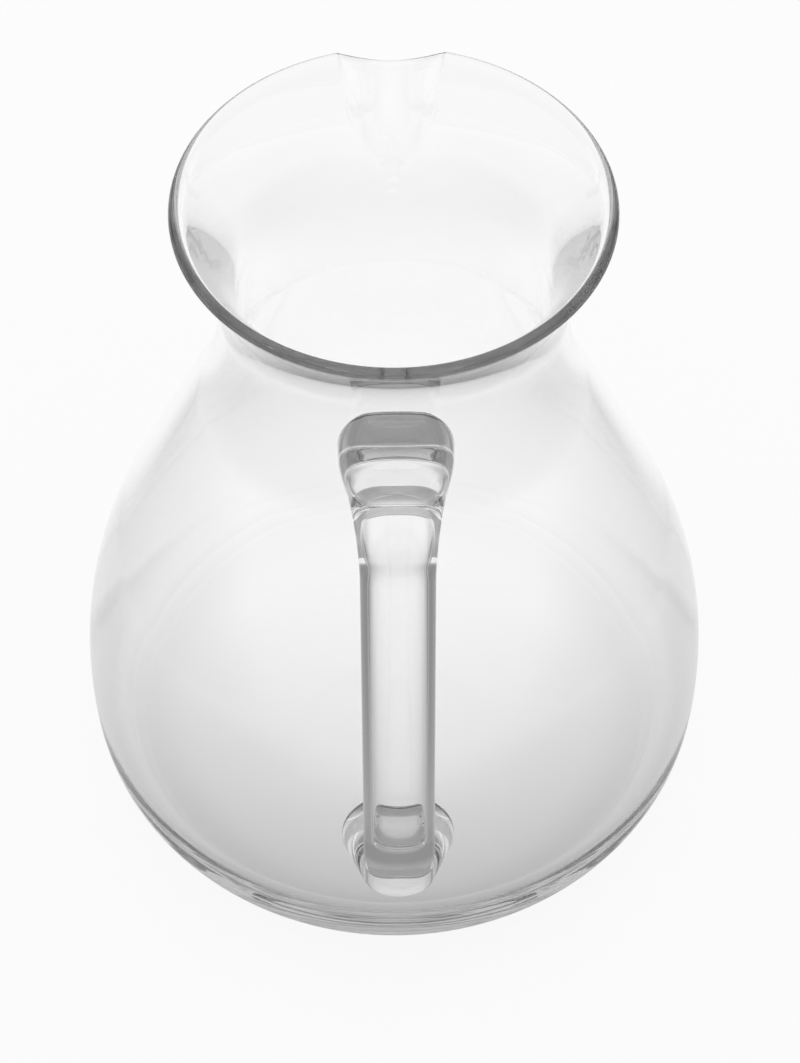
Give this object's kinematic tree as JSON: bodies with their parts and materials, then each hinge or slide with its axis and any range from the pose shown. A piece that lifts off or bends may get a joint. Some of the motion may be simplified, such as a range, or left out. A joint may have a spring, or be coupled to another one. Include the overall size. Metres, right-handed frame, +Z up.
{
  "type": "beer pitcher",
  "caption": "Clear glass beer pitcher with a pear-shaped body, a flared rim with a pulled pouring lip, and a solid strap handle fused on at the neck and the belly, for serving drinks.",
  "frame": {"origin": "centre of the foot on the plane that the pitcher stands on", "axes": "+Z up along the body's axis, +Y towards the pouring lip, -Y towards the handle"},
  "size_m": [0.16, 0.1852, 0.2155],
  "materials": {
    "body_glass": "fire-polished clear soda-lime glass",
    "handle_glass": "fire-polished clear soda-lime glass, solid section"
  },
  "bodies": {
    "root": {"body": "body_glass", "handle": "handle_glass"}
  },
  "joints": []
}
